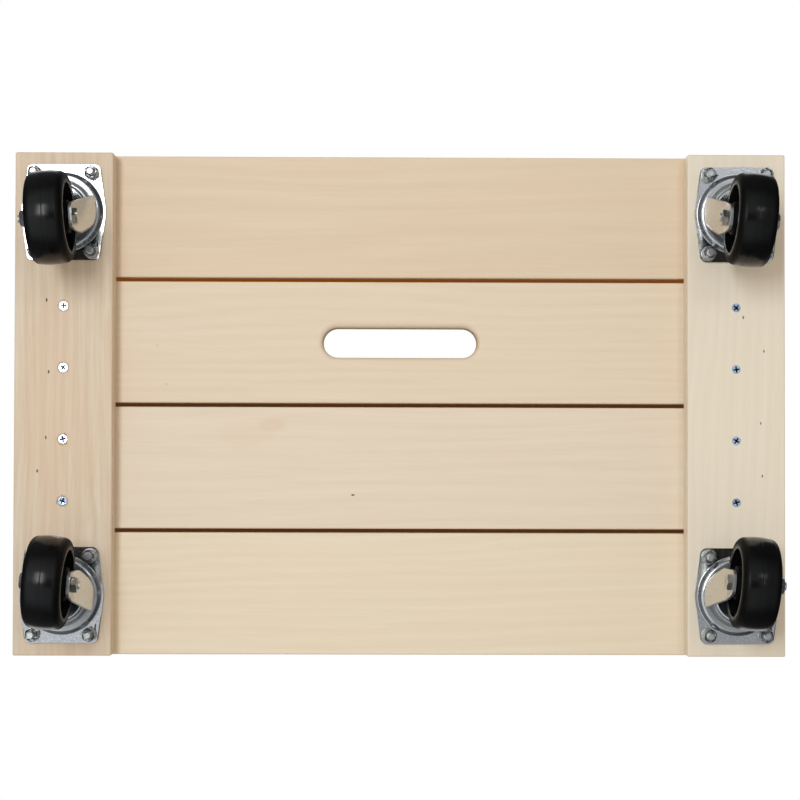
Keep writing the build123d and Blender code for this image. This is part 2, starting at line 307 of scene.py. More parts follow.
        # Folding the batten twice about its middle brings its four screws to one place
        for step in (0.0, (outer + inner) / 2, (outer - inner) / 2):
            fold = node("Math", {0: fold, 1: step}, operation="SUBTRACT")
            fold = node("Math", {0: fold}, operation="ABSOLUTE")
        flat = node("CombineXYZ", {"X": node("SeparateXYZ", {0: centred}, "X"), "Y": fold, "Z": 0.0})
        away = node("VectorMath", {0: flat}, "Value", operation="LENGTH")
        torn = node("Math", {0: fibres, 1: 0.006, 2: away}, operation="MULTIPLY_ADD")
        # The brown ring is partly real torn fibres and partly painted shade round the countersunk head
        near = node(
            "MapRange", {"Value": torn, "From Min": 0.0066, "From Max": 0.0082, "To Min": 0.8, "To Max": 0.0}
        )
        return node("Mix", {"Factor": near, 6: colour, 7: linear("8F6A42")}, 2, data_type="RGBA")


@dataclass(frozen=True)
class Coat:
    """Smooth skin with cloudier patches on it and fine ripples in it.

    Attributes:
        name: Name of the material.
        clean: Colour of the clean skin.
        cloudy: Colour of its patches.
        gloss: Lowest and highest roughness.
        patch_mm: Size of the patches.
        ripple_mm: Size of the ripples.
    """

    # Detail and roughness of the noise, its range that shows, and strength and depth of the relief
    NOISE: ClassVar[Pair]
    SHOWN: ClassVar[Pair]
    RELIEF: ClassVar[Pair]

    name: str
    clean: str
    cloudy: str
    gloss: Pair
    patch_mm: float
    ripple_mm: float

    def skin(self, node: NodeAdder) -> tuple[NodeSocket, dict[str, NodeSocket]]:
        """Lay the patches and the ripples.

        Args:
            node: Adds a node to the material.

        Returns:
            Object coordinates, and what the shader takes for its colour, roughness and relief.
        """
        place = node("TexCoord", out="Object")
        noises = []
        for size, detail, rough in ((self.patch_mm, *self.NOISE), (self.ripple_mm, 2.0, 0.5)):
            values = {"Vector": place, "Scale": per_metre(size), "Detail": detail, "Roughness": rough}
            noises.append(node("TexNoise", values, "Fac"))
        patches, ripples = noises
        share = node("MapRange", {"Value": patches, "From Min": self.SHOWN[0], "From Max": self.SHOWN[1]})
        shades = {6: linear(self.clean), 7: linear(self.cloudy)}
        smooth, rough = self.gloss
        strength, depth = self.RELIEF
        return place, {
            "Base Color": node("Mix", {"Factor": share, **shades}, 2, data_type="RGBA"),
            "Roughness": node("MapRange", {"Value": patches, "To Min": smooth, "To Max": rough}),
            "Normal": node("Bump", {"Strength": strength, "Distance": depth, "Height": ripples}),
        }


@dataclass(frozen=True)
class ZincPlate(Coat):
    """Zinc plate on steel: a clear metal shine, with a slightly cloudy passivated bloom.

    Attributes:
        recess_shade_level: Level above which a recess is painted dark as shade, in mm, if there is one.
    """

    NOISE = (4.0, 0.6)
    SHOWN = (0.35, 0.7)
    RELIEF = (0.12, 0.0002)

    recess_shade_level: float | None = None

    def material(self) -> Material:
        """Build the plate's nodes.

        Returns:
            The material.
        """
        material, node = empty_material(self.name)
        place, skin = self.skin(node)
        # Painted shade: the recess above this level is coloured dark, standing in for the shade inside it
        if self.recess_shade_level:
            start = self.recess_shade_level * MM
            level = node("SeparateXYZ", {0: place}, "Z")
            recess_shade = node("MapRange", {"Value": level, "From Min": start, "From Max": start + 0.4 * MM})
            shades = {6: skin["Base Color"], 7: linear("1E222C")}
            skin["Base Color"] = node("Mix", {"Factor": recess_shade, **shades}, 2, data_type="RGBA")
        node("OutputMaterial", {"Surface": node("BsdfPrincipled", {**skin, "Metallic": 1.0})})
        return material


@dataclass(frozen=True)
class MouldedRubber(Coat):
    """Hard black rubber from a mould: deep black, matt, rolled smooth on the tread, with a trace of dust.

    Attributes:
        matt: Roughness of the sides, which the floor doesn't reach.
    """

    NOISE = (5.0, 0.65)
    SHOWN = (0.5, 0.8)
    RELIEF = (0.3, 0.0001)

    matt: float = 0.6

    def material(self) -> Material:
        """Build the rubber's nodes.

        Returns:
            The material.
        """
        material, node = empty_material(self.name)
        _, skin = self.skin(node)
        worn = node("Attribute", out="Fac", attribute_name=Wheel.WORN)
        for socket, fresh, rolled in (
            ("Roughness", self.matt, skin["Roughness"]),
            ("Specular IOR Level", 0.08, 0.3),
        ):
            skin[socket] = node("MapRange", {"Value": worn, "To Min": fresh, "To Max": rolled})
        node("OutputMaterial", {"Surface": node("BsdfPrincipled", skin)})
        return material


def mode(name: str) -> None:
    """Go to edit mode or to object mode."""
    bpy.ops.object.mode_set(mode=name)


def clear() -> None:
    """Leave edit mode and deselect everything."""
    if bpy.context.object and bpy.context.object.mode != "OBJECT":
        mode("OBJECT")
    bpy.ops.object.select_all(action="DESELECT")


def hold(*pieces: Object) -> None:
    """Select these pieces alone.

    Args:
        *pieces: Objects to select, the active one first.
    """
    clear()
    for piece in pieces:
        piece.select_set(True)
    bpy.context.view_layer.objects.active = pieces[0]


def blank(kind: str, **sizes) -> Object:
    """Start a piece or a tool from one of Blender's primitives.

    Args:
        kind: Name of the primitive.
        **sizes: Its sizes.

    Returns:
        The new object.
    """
    clear()
    getattr(bpy.ops.mesh, f"primitive_{kind}_add")(**sizes)
    return bpy.context.object


def pick_points(places: list[Vector]) -> None:
    """Select vertices, in edit mode.

    Args:
        places: Where they are.
    """
    data = bpy.context.object.data
    mesh = bmesh.from_edit_mesh(data)
    for vertex in mesh.verts:
        vertex.select_set(any((vertex.co - place).length < TOUCH for place in places))
    mesh.select_flush_mode()
    bmesh.update_edit_mesh(data)


def pick_faces(test: Callable[[Vector, Vector], bool]) -> None:
    """Select faces, in edit mode.

    Args:
        test: Says from a face's middle and normal whether it is wanted.
    """
    bpy.ops.mesh.select_all(action="DESELECT")
    data = bpy.context.object.data
    mesh = bmesh.from_edit_mesh(data)
    for face in mesh.faces:
        if test(face.calc_center_median(), face.normal):
            face.select_set(True)
    bmesh.update_edit_mesh(data)


def draw(corners: Corners, closed: bool) -> Object:
    """Draw a line from corner to corner by extruding one vertex, round it and stay in edit mode.

    Args:
        corners: Place and rounding of each corner.
        closed: Whether the last corner joins the first.

    Returns:
        The object with the line, all of it selected.
    """
    places = [Vector(place) for place, _ in corners]
    piece = blank("plane", size=1)
    mode("EDIT")
    bpy.ops.mesh.merge(type="CENTER")
    bpy.ops.transform.translate(value=places[0])
    for here, there in zip(places, places[1:]):
        bpy.ops.mesh.extrude_vertices_move(TRANSFORM_OT_translate={"value": there - here})
    if closed:
        pick_points([places[0], places[-1]])
        bpy.ops.mesh.edge_face_add()
    for reach in sorted({reach for _, reach in corners if reach > 0}):
        pick_points([place for place, (_, size) in zip(places, corners) if size == reach])
        bpy.ops.mesh.bevel(offset=reach, segments=ROUND_STEPS, affect="VERTICES")
    bpy.ops.mesh.select_all(action="SELECT")
    return piece


def close_up() -> None:
    """Merge doubles, turn the faces outwards and leave edit mode."""
    bpy.ops.mesh.select_all(action="SELECT")
    bpy.ops.mesh.remove_doubles(threshold=TOUCH)
    bpy.ops.mesh.normals_make_consistent(inside=False)
    mode("OBJECT")


def lathe(profile: Profile, steps: int = TURN_STEPS) -> Object:
    """Turn a profile about Z. A profile that starts off the axis is closed to a ring.

    Args:
        profile: Corners of the profile.
        steps: Steps in a full turn.

    Returns:
        The turned object.
    """
    corners = [((r, 0, z), reach[0] if reach else 0) for r, z, *reach in profile]
    piece = draw(corners, profile[0][0] > 0)
    bpy.ops.mesh.spin(steps=steps, angle=2 * pi, center=(0, 0, 0), axis=(0, 0, 1))
    close_up()
    return piece


def rod(radius: float, low: float, high: float) -> Object:
    """Turn a plain rod about Z, as a cutting tool."""
    steps = TURN_STEPS if radius > SMALL_RADIUS else 32
    return lathe([(0, low), (radius, low), (radius, high), (0, high)], steps)


def prism(corners: Corners, push: Point) -> Object:
    """Fill a closed outline and extrude it.

    Args:
        corners: Corners of the outline.
        push: Way and length of the extrusion.

    Returns:
        The prism.
    """
    piece = draw(corners, True)
    bpy.ops.mesh.edge_face_add()
    bpy.ops.mesh.extrude_region_move(TRANSFORM_OT_translate={"value": push})
    close_up()
    return piece


def modify(piece: Object, kind: str, **settings) -> Object:
    """Put a modifier on a piece and apply it.

    Args:
        piece: Object that is changed.
        kind: Blender's name for the modifier.
        **settings: Its settings.

    Returns:
        The same piece.
    """
    hold(piece)
    modifier = piece.modifiers.new(kind.lower(), kind)
    for key, value in settings.items():
        setattr(modifier, key, value)
    bpy.ops.object.modifier_apply(modifier=modifier.name)
    return piece


def carve(piece: Object, tool: Object, operation: str) -> None:
    """Join (UNION), cut (DIFFERENCE) or trim (INTERSECT) a piece with a tool, which is used up."""
    modify(piece, "BOOLEAN", object=tool, operation=operation, solver="EXACT")
    bpy.data.objects.remove(tool)


def ease(piece: Object, width: float, sharp: float, segments: int = 2) -> Object:
    """Round each edge that is sharper than an angle in degrees a little, and return the piece."""
    limit = {"limit_method": "ANGLE", "angle_limit": radians(sharp)}
    return modify(piece, "BEVEL", width=width, segments=segments, **limit)


def polish(piece: Object, angle: float = 40.0) -> Object:
    """Shade a piece smooth, with flats that stay flat.

    Args:
        piece: Object that is shaded.
        angle: Angle in degrees up to which an edge is smooth.

    Returns:
        The same piece.
    """
    hold(piece)
    bpy.ops.object.shade_smooth_by_angle(angle=radians(angle))
    return modify(piece, "WEIGHTED_NORMAL", keep_sharp=True)


def move(piece: Object, matrix: Matrix) -> Object:
    """Move a piece and put its place in its mesh.

    Args:
        piece: Object to move.
        matrix: Where it goes.

    Returns:
        The same piece.
    """
    hold(piece)
    piece.matrix_world = matrix
    bpy.ops.object.transform_apply(location=True, rotation=True, scale=True)
    return piece


def copy_to(piece: Object, matrix: Matrix) -> Object:
    """Copy a piece, with a mesh of its own, to another place.

    Args:
        piece: Object to copy.
        matrix: Where the copy goes.

    Returns:
        The copy.
    """
    copy = piece.copy()
    copy.data = piece.data.copy()
    bpy.context.scene.collection.objects.link(copy)
    return move(copy, matrix)


def join(pieces: list[Object]) -> Object:
    """Make one object of several.

    Args:
        pieces: Objects to join.

    Returns:
        The first of them, with the others in it.
    """
    hold(*pieces)
    bpy.ops.object.join()
    return pieces[0]


def settle(piece: Object, name: str, material: Material, body: str, slot: str, *nodes: str) -> None:
    """Name and dress a finished piece, and put it on its body.

    Args:
        piece: The finished object.
        name: Its name.
        material: Its material.
        body: Body that it moves with.
        slot: Slot of the record that its finish comes from; not used.
        *nodes: CAD nodes that it stands for.
    """
    piece.name = piece.data.name = name
    piece.data.materials.clear()
    piece.data.materials.append(material)
    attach(piece, body)
    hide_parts(*nodes)
    log.info("%s rides on %s, %d faces", name, body, len(piece.data.polygons))


def array(piece: Object, places: list[Matrix]) -> Object:
    """Copy a piece to each place and join the copies. The pattern is used up.

    Args:
        piece: Pattern in millimetres.
        places: Places of the copies, in metres.

    Returns:
        The joined copies.
    """
    copies = [copy_to(piece, place @ TO_METRES) for place in places]
    bpy.data.objects.remove(piece)
    return join(copies)


def arc(centre: Pair, radii: Pair, start: float, end: float, steps: int) -> Profile:
    """Points along an ellipse from one angle in degrees to another, both included."""
    angles = [radians(start + (end - start) * i / steps) for i in range(steps + 1)]
    return [(centre[0] + radii[0] * cos(a), centre[1] + radii[1] * sin(a)) for a in angles]


def thread(radius: float, pitch: float, bottom: float, top: float, tip: float) -> Profile:
    """Profile of a rolled thread, drawn as rings, with a turned tip at its bottom.

    Args:
        radius: Outer radius of the thread.
        pitch: Distance from crest to crest.
        bottom: Height of the tip.
        top: Height at which the thread ends.
        tip: Height of the turned tip.

    Returns:
        Corners from the axis at the tip up to the end of the thread.
    """
    root = radius - 0.6 * pitch
    corners = [(0, bottom), (root - 0.1, bottom), (root, bottom + tip)]
    for turn in range(int((top - bottom - tip) / pitch)):
        foot = bottom + tip + turn * pitch
        for reach, share in ((root, 0.12), (radius, 0.44), (radius, 0.56), (root, 0.88)):
            corners.append((reach, foot + share * pitch))
    return corners


@dataclass
class Hexagon:
    """Hexagonal nut or bolt head with turned corners, standing on Z = 0 and rising along Z.

    Attributes:
        across: Width across flats.
        height: Height along the axis.
        bore: Radius of a nut's hole, or 0 for a head, which is dished and turned at its top alone.
    """

    across: float
    height: float
    bore: float = 0.0

    def build(self) -> Object:
        """Trim a hexagonal prism with a turned blank.

        Returns:
            The nut or the head.
        """
        high = self.height
        corner = self.across / sqrt(3)
        edge = corner + 0.1
        # Corners are turned at thirty degrees down to a face just inside the flats
        face = 0.95 * self.across / 2
        fall = (edge - face) / sqrt(3)
        outside = [(face, 0), (edge, fall if self.bore else 0.0), (edge, high - fall), (face, high)]
        if self.bore:
            lead = 0.6
            mouth = self.bore + lead
            inside = [(mouth, high), (self.bore, high - lead), (self.bore, lead), (mouth, 0)]
            profile = [*inside[2:], *outside, *inside[:2]]
        else:
            dish = high - 0.25
            profile = [(0, 0), *outside, (0.8 * face, high), (0.72 * face, dish), (0, dish)]
        piece = blank("cylinder", vertices=6, radius=corner, depth=high)
        move(piece, at(0, 0, high / 2))
        carve(piece, lathe(profile, 48), "INTERSECT")
        return polish(ease(piece, 0.12, 25.0))


@dataclass
class Deck:
    """Deck boards and battens, which keep their CAD shapes, and the screws between them.

    Attributes:
        board_middle: Level of the boards' middle, in mm.
        board_pitch: Distance from board to board, in mm.
        batten_middle: Level of the battens' middle, in mm.
        face: Level of the battens' underside, in mm.
        batten_x: Distance of a batten's middle from the deck's, in mm.
        screw_rows: Distance of the screws from the middle of a batten, in mm.
        head_radius: Radius of a screw head.
        shank_radius: Radius of a screw's shank.
        screw_length: Length of a screw.
        tip: Length of a screw's point, and of its plain shank under the head.
        pitch: Pitch of a screw's thread, and its depth.
        recess: Length of the cross recess, its slot width and its depth.
    """

    board_middle: float = 130.0
    board_pitch: float = 103.9
    batten_middle: float = 110.0
    face: float = 100.0
    batten_x: float = 275.0
    screw_rows: Pair = (29.2, 79.7)
    head_radius: float = 3.7
    shank_radius: float = 1.9
    screw_length: float = 34.0
    tip: float = 5.0
    pitch: Pair = (1.8, 0.5)
    recess: Point = (5.2, 1.35, 2.4)

    def woods(self) -> dict[str, PlanedWood]:
        """Choose the woods: the photographed boards differ in hue, rings and slope.

        Returns:
            Wood of each board and batten, by the name of its node.
        """
        boards = (
            ("E2CFB4", "E3CDB2", "DCC6A8", (60, -150), 0.5, 9.0, 0.2),
            (
                *("E6D6BE", "E6D3BB", "E0CDB1", (-120, -160), -0.3, 5.5, 0.2),
                (Fleck((-201, -49, 120), 0.7, 0.2), Fleck((-193, -17, 120), 0.7, 0.2)),
            ),
            (
                *("E7D8C3", "E8D7C1", "E1D0B7", (110, -190), 0.2, 8.0, 0.15),
                (
                    Fleck((-38.8, 74.3, 120), 0.75),
                    Fleck((-106, 16.5, 120), 6.0, 0.22, "D9B08C"),
                    Fleck((-128, 25, 120), 11.0, 0.2, "DFC4A6"),
                ),
            ),
            ("EADCC4", "EBDAC1", "E4D3B5", (140, -180), 0.7, 6.5, 0.2),
        )
        left_knots = ((-288.8, -84.4, 0.8), (-286.8, -25.7, 0.75), (-288.8, 27.9, 0.7), (-295.6, 55.2, 0.75))
        right_knots = ((280.7, -71.9, 0.7), (297.6, -44.2, 0.65), (294.9, 14.8, 0.6), (296.2, 57.9, 0.65))
        left, right = (
            tuple(Fleck((x, y, self.face), radius, depth) for x, y, radius in knots)
            for knots, depth in ((left_knots, 0.95), (right_knots, 0.9))
        )
        battens = {
            "left": ("DFD2BC", "DEC8AF", "D2B99C", (90, -110), 0.7, 7.0, 0.15, left, self.screw_rows),
            "right": ("EAE0CC", "EBDECA", "E5D8C1", (-150, -170), -0.2, 6.0, 0.15, right),
        }
        woods = {}
        for number, row in enumerate(boards, 1):
            spot = (0, (number - 2.5) * self.board_pitch, self.board_middle)
            name = f"planed softwood, board {number}"
            woods[f"deck_board_{number}"] = PlanedWood(name, Grain.ALONG_X, spot, *row)
        for side, (hand, row) in zip((-1, 1), battens.items()):
            spot = (side * self.batten_x, 0, self.batten_middle)
            woods[f"batten_{hand}"] = PlanedWood(f"planed softwood, {hand} batten", Grain.ALONG_Y, spot, *row)
        return woods

    def dress(self) -> None:
        """Give each board and batten its own wood."""
        for name, wood in self.woods().items():
            frame["nodes"][name].material_slots[0].material = wood.material()
            log.info("%s keeps its CAD shape", name)

    def screws(self, material: Material) -> None:
        """Model one cross-recessed countersunk screw and drive it into every place.

        Args:
            material: Finish of the screws.
        """
        rim, shank = self.head_radius, self.shank_radius
        pitch, deep = self.pitch
        root = shank - deep
        profile = [(0, 0.06), (rim - 0.9, 0), (rim - 0.1, 0), (rim, 0.15), (shank, rim - shank + 0.15)]
        height = rim - shank + self.tip
        end = self.screw_length - self.tip
        while height < end:
            profile += [(root, height), (shank, height + 0.2 * pitch), (root, height + 0.4 * pitch)]
            height += pitch
        screw = lathe([*profile, (root, end), (0, self.screw_length)], 40)
        length, width, depth = self.recess
        for size in ((length, width, depth), (width, length, depth)):
            place = at(0, 0, 0.45 * depth)
            blade = move(blank("cube", size=1), place @ Matrix.Diagonal((*size, 1)))
            mode("EDIT")
            pick_faces(lambda middle, normal: normal.z > 0.5)
            bpy.ops.transform.resize(value=(0.5, 0.5, 1))
            mode("OBJECT")
            carve(screw, blade, "DIFFERENCE")
        polish(ease(screw, 0.06, 40.0, 1))
        places = []
        for side in (-1, 1):
            for index, row in enumerate((-self.screw_rows[1], -self.screw_rows[0], *self.screw_rows)):
                # Each screw stopped at its own angle
                turn = turned(17 + 41 * index + 23 * side)
                spot = Vector((side * self.batten_x, row, self.face)) * MM
                places.append(Matrix.Translation(spot) @ turn)
        screws = array(screw, places)
        settle(screws, "cross_recess_screws", material, "deck", "zinc_screws", "batten_screws")


@dataclass
class Fasteners:
    """Carriage bolts, lock washers and nuts of the caster plates.

    Attributes:
        seat: Level of the bolt heads' underside, in mm.
        plate_face: Level of the caster plates' underside, in mm.
        radius: Radius of a bolt.
        length: Length of a bolt under its head.
        threaded: Length of its thread.
        head: Radius and height of a bolt's dome.
        washer: Outer radius and thickness of a lock washer, and the width of its split.
        nut: Width across flats and height of a nut.
        pitch: Distance between the bolts of a plate along X and Y.
        casters: Distance of the casters from the deck's middle along X and Y.
    """

    seat: float = 136.0
    plate_face: float = 97.5
    radius: float = 3.0
    length: float = 50.0
    threaded: float = 14.0
    head: Pair = (8.25, 3.4)
    washer: Point = (6.0, 1.6, 1.2)
    nut: Pair = (10.0, 5.0)
    pitch: Pair = (46.0, 64.0)
    casters: Pair = (275.0, 155.85)

    def places(self, level: float, flip: bool, spread: float) -> list[Matrix]:
        """Place of each fastener.

        Args:
            level: Height above the floor, in mm.
            flip: Whether the fastener is modelled upwards and hangs down.
            spread: Step in degrees by which one fastener's turn differs from the next.

        Returns:
            One matrix for each of the sixteen places, in metres.
        """
        over = turned(180 if flip else 0, "X")
        found = []
        for caster in CORNERS:
            for bolt in CORNERS:
                x, y = (c * s + p / 2 * b for c, s, p, b in zip(self.casters, caster, self.pitch, bolt))
                turn = turned(11 + spread * len(found))
                found.append(Matrix.Translation(Vector((x, y, level)) * MM) @ turn @ over)
        return found

    def build(self, material: Material) -> None:
        """Model a bolt, a nut and a washer, and set them in every place.

        Args:
            material: Finish of the fasteners.
        """
        nut = Hexagon(*self.nut, self.radius).build()
        nut_level = self.plate_face - self.washer[1]
        for pattern, level, flip, spread, name, node in (
            (self.bolt(), 0, False, 37, "carriage_bolts", "caster_bolts"),
            (nut, nut_level, True, 23, "hexagon_nuts", "caster_nuts"),
            (self.lock_washer(), self.plate_face, True, 53, "lock_washers", "caster_lock_washers"),
        ):
            fasteners = array(pattern, self.places(level, flip, spread))
            settle(fasteners, name, material, "deck", "zinc_steel", node)

    def bolt(self) -> Object:
        """Turn a bolt with its domed head.

        Returns:
            The bolt, at its own level.
        """
        end = self.seat - self.length
        wide, high = self.head
        profile = thread(self.radius, 1.0, end, end + self.threaded, 0.7)
        profile += [(self.radius, end + self.threaded + 0.5), (self.radius, self.seat), (wide, self.seat)]
        profile += arc((0, self.seat + 0.5), (wide, high - 0.5), 0, 90, 10)[:-1]
        return polish(lathe([*profile, (0, self.seat + high)], 40))

    def lock_washer(self) -> Object:
        """Turn a ring of square wire and split it askew.

        Returns:
            The washer.
        """
        outer, thick, split = self.washer
        inner = self.radius + 0.3
        corners = ((inner, 0), (outer, 0), (outer, thick), (inner, thick))
        ring = lathe([(*corner, 0.25) for corner in corners], 56)
        place = at(0.75 * outer, 0, 0.5 * thick) @ turned(24, "X")
        blade = move(blank("cube", size=1), place @ Matrix.Diagonal((outer, 0.5 * split, 4 * thick, 1)))
        carve(ring, blade, "DIFFERENCE")
        return polish(ring)


@dataclass
class SwivelHead:
    """Fixed part of a caster: pressed plate, race cup and kingpin, about the swivel axis.

    Attributes:
        width: Width of the plate, across the deck's length.
        length: Length of the plate.
        corner: Radius of the plate's corners.
        bulge: Radius of the plate round the swivel head.
        bottom: Level of the plate's underside.
        thick: Thickness of the plate's sheet.
        floor: Level of the underside of the pressed floor.
        shoulder: Radius at which the shoulder meets the plate, its run, and its shift through the sheet.
        bore: Radius of the kingpin's hole.
        bolts: Distance between the bolts along X and Y.
        bolt_hole: Radius of a bolt hole.
        cup: Outer radius, underside, thickness and lip height of the race cup.
        pin: Radius of the kingpin, its head's radius, bottom, head height and top.
    """

    width: float = 60.0
    length: float = 78.0
    corner: float = 5.0
    bulge: float = 34.25
    bottom: float = 97.5
    thick: float = 2.5
    floor: float = 94.0
    shoulder: Point = (32.25, 3.0, 0.95)
    bore: float = 5.05
    bolts: Pair = (46.0, 64.0)
    bolt_hole: float = 3.3
    cup: tuple[float, float, float, float] = (21.5, 82.9, 2.0, 3.0)
    pin: tuple[float, float, float, float, float] = (5.0, 8.0, 80.7, 2.2, 98.7)

    def plate(self) -> Object:
        """Stretch a hull round five discs, open it and set the pressed bowl in it.

        Returns:
            The plate.
        """
        across, along = self.width / 2 - self.corner, self.length / 2 - self.corner
        spots = [(0.0, 0.0, self.bulge)]
        spots += [(x * across, y * along, self.corner) for x, y in CORNERS]
        discs = []
        for x, y, radius in spots:
            steps = TURN_STEPS if radius > SMALL_RADIUS else 40
            disc = blank("cylinder", vertices=steps, radius=radius, depth=self.thick)
            discs.append(move(disc, at(x, y, self.bottom + self.thick / 2)))
        plate = join(discs)
        mode("EDIT")
        bpy.ops.mesh.select_all(action="SELECT")
        bpy.ops.mesh.convex_hull()
        bpy.ops.mesh.dissolve_limited(angle_limit=radians(0.5))
        close_up()
        edge, run, slide = self.shoulder
        seam, foot = edge + 1.0, edge - run
        through = (self.bottom - 5, self.bottom + 5)
        carve(plate, rod(seam - 0.4, *through), "DIFFERENCE")
        top, floor = self.bottom + self.thick, self.floor + self.thick
        low, face = self.floor, self.bottom
        under = [(self.bore, low), (foot, low, 1.6), (edge, face, 0.5), (seam, face)]
        over = [(seam, top), (edge - slide, top, 1.6), (foot - slide, floor, 0.5), (self.bore, floor)]
        carve(plate, lathe(under + over), "UNION")
        for x, y in CORNERS:
            spot = at(x * self.bolts[0] / 2, y * self.bolts[1] / 2, 0)
            carve(plate, move(rod(self.bolt_hole, *through), spot), "DIFFERENCE")
        return polish(ease(plate, 0.35, 50.0))

    def race_cup(self) -> Object:
        """Turn the cup under the lower ring of balls.

        Returns:
            The cup.
        """
        outer, low, thick, lip = self.cup
        floor, inner = low + thick, outer - thick
        outside = [(self.bore, low), (outer, low, 2.4), (outer, floor + lip, 0.4)]
        return polish(lathe([*outside, (inner, floor + lip, 0.4), (inner, floor, 0.6), (self.bore, floor)]))

    def kingpin(self) -> Object:
        """Turn the kingpin with its two peened heads.

        Returns:
            The kingpin.
        """
        radius, head, low, depth, top = self.pin
        neck = low + depth
        profile = [(0, low), *arc((0, neck), (head, depth), -90, -8, 8)[1:], (head, neck), (radius, neck)]
        profile += [(radius, top - depth), (head, top - depth), (head, top, 0.5), (0, top)]
        return polish(lathe(profile, 64))


@dataclass
class Fork:
    """Pressed fork: a stepped round crown with two legs that converge on the axle.

    Attributes:
        thick: Thickness of the sheet.
        crown: Outer radius of the crown, width of its rim, bore, underside and step.
        step_run: Run of the step, and its shift through the sheet.
        leg_top: Distance of a leg's inner face from the middle at the crown.
        leg_inner: The same distance at the axle.
        bend: How far the bend runs in under the crown, and how far out its outer corner lies.
        widths: Width of a leg at the crown and at its end.
        lead: How far a leg's straight front edge lies ahead of the axle.
        drop: How far a leg ends below the axle.
        corner: Radius of the two corners at a leg's end.
        knee: Height of the lower bend above the axle.
        axle: Trail of the axle, its level and the radius of its hole.
        flare: How far a leg may stand out past the crown at the axle.
    """

    thick: float = 2.5
    crown: tuple[float, float, float, float, float] = (28.5, 4.0, 8.5, 88.8, 1.2)
    step_run: Pair = (2.0, 0.69)
    leg_top: float = 26.0
    leg_inner: float = 16.0
    bend: Pair = (3.2, 3.18)
    widths: Pair = (34.0, 18.3)
    lead: float = 9.7
    drop: float = 11.2
    corner: float = 5.5
    knee: float = 9.75
    axle: Point = (13.5, 36.75, 4.05)
    flare: float = 4.0

    def build(self) -> Object:
        """Bend and trim a leg, mirror it, and join both to the turned crown.

        Returns:
            The fork.
        """
        fork = self.turned_crown()
        leg = self.leg()
        other = copy_to(leg, Matrix.Scale(-1, 4, (0, 1, 0)))
        mode("EDIT")
        close_up()
        carve(fork, leg, "UNION")
        carve(fork, other, "UNION")
        return polish(ease(fork, 0.3, 40.0))

    def turned_crown(self) -> Object:
        """Turn the crown with its stepped rim.

        Returns:
            The crown.
        """
        radius, rim, bore, low, step = self.crown
        run, slide = self.step_run
        inner, under = radius - rim, low - step
        profile = [(bore, low), (inner - run, low, 0.4), (inner, under, 0.9), (radius, under)]
        low, under = low + self.thick, under + self.thick
        profile += [(radius, under), (inner + slide, under, 0.4)]
        profile += [(inner - run + slide, low, 0.9), (bore, low)]
        return lathe(profile)

    def leg(self) -> Object:
        """Bend the sheet of one leg and cut it to its outline.

        Returns:
            The leg on the side of the axle bolt's nut.
        """
        radius, _, _, low, step = self.crown
        trail, level, hole = self.axle
        under = low - step
        top = low + self.thick
        knee = level + self.knee
        foot = level - self.drop
        outer = self.leg_inner + self.thick
        wide, narrow = self.widths
        start = self.leg_top - self.bend[0]
        section = [
            (start, under, 0),
            (self.leg_top, under, 2.5),
            (self.leg_inner, knee, 2.0),
            (self.leg_inner, foot - 5, 0),
            (outer, foot - 5, 0),
            (outer, knee - 0.3, 1.0),
            (self.leg_top + self.bend[1], under + self.thick, 5.6),
            (start, under + self.thick, 0),
        ]
        leg = prism([((-wide, y, z), reach) for y, z, reach in section], (2 * wide, 0, 0))
        front = trail + self.lead
        # The back edge leans, so its rounding starts nearer to the corner than that of the front edge
        lean = atan2(wide - narrow, under - foot)
        outline = [(front, top, 0), (front - wide, top, 0), (front - wide, under, 0)]
        start = self.corner * tan((pi / 2 - lean) / 2)
        outline += [(front - narrow, foot, start), (front, foot, self.corner)]
        blade = prism([((x, 0, z), reach) for x, z, reach in outline], (0, 2 * radius, 0))
        carve(leg, blade, "INTERSECT")
        reach = radius + self.flare
        limit = [(0, 0), (reach, 0), (reach, level), (radius, under), (radius, top), (0, top)]
        carve(leg, lathe(limit), "INTERSECT")
        axle = at(trail, 0, level) @ turned(-90, "X")
        carve(leg, move(rod(hole, 0, 2 * radius), axle), "DIFFERENCE")
        return leg


